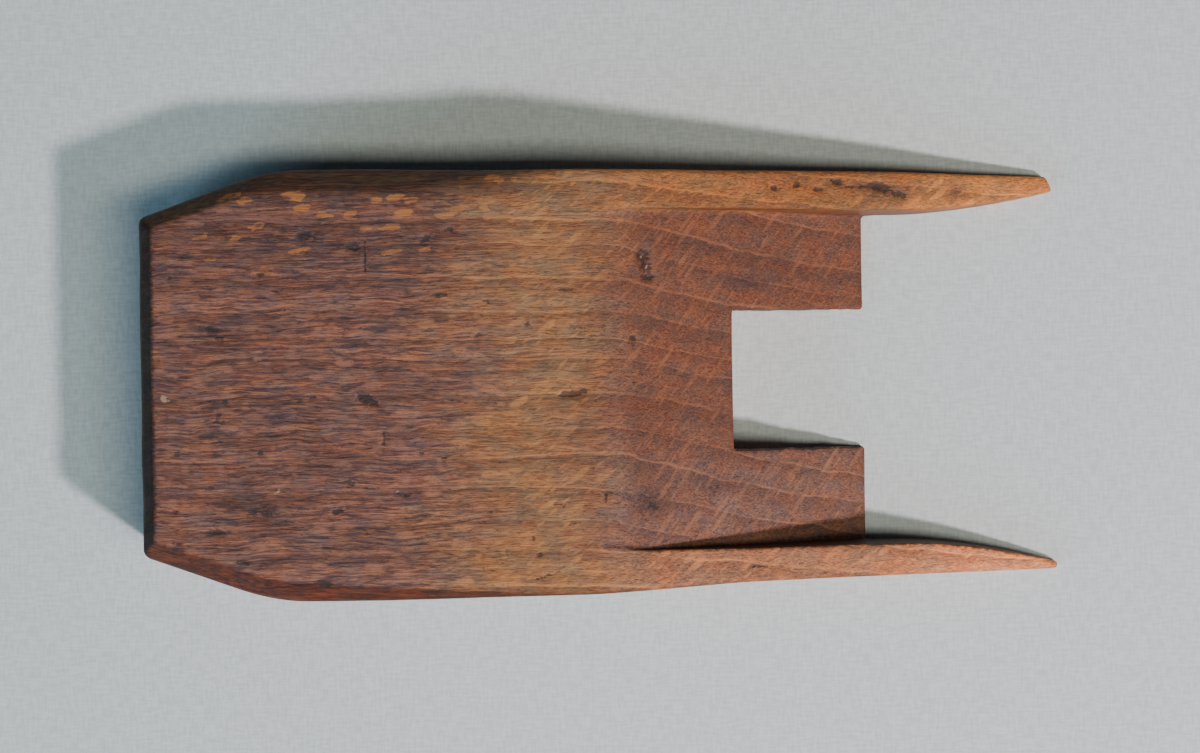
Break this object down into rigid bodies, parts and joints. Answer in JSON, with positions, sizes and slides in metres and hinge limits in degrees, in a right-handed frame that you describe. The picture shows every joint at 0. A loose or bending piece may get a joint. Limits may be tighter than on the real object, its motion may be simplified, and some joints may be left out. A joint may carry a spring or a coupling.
{
  "type": "plane wedge",
  "caption": "Flat wooden wedge with a thick chamfered head, tapering side prongs and a thinner notched tongue between them, for holding the cutting iron in a wooden bench plane.",
  "frame": {"origin": "centre of the bounding box on the flat back, which is the face the wedge lies on", "axes": "+X along the grain from the head to the tips of the prongs, +Y across the width, +Z out of the back towards the front face"},
  "size_m": [0.1228, 0.057, 0.019],
  "materials": {
    "beech": "aged, oiled and worn beech with a satin patina"
  },
  "bodies": {
    "root": {"plane_wedge": "beech"}
  },
  "joints": []
}
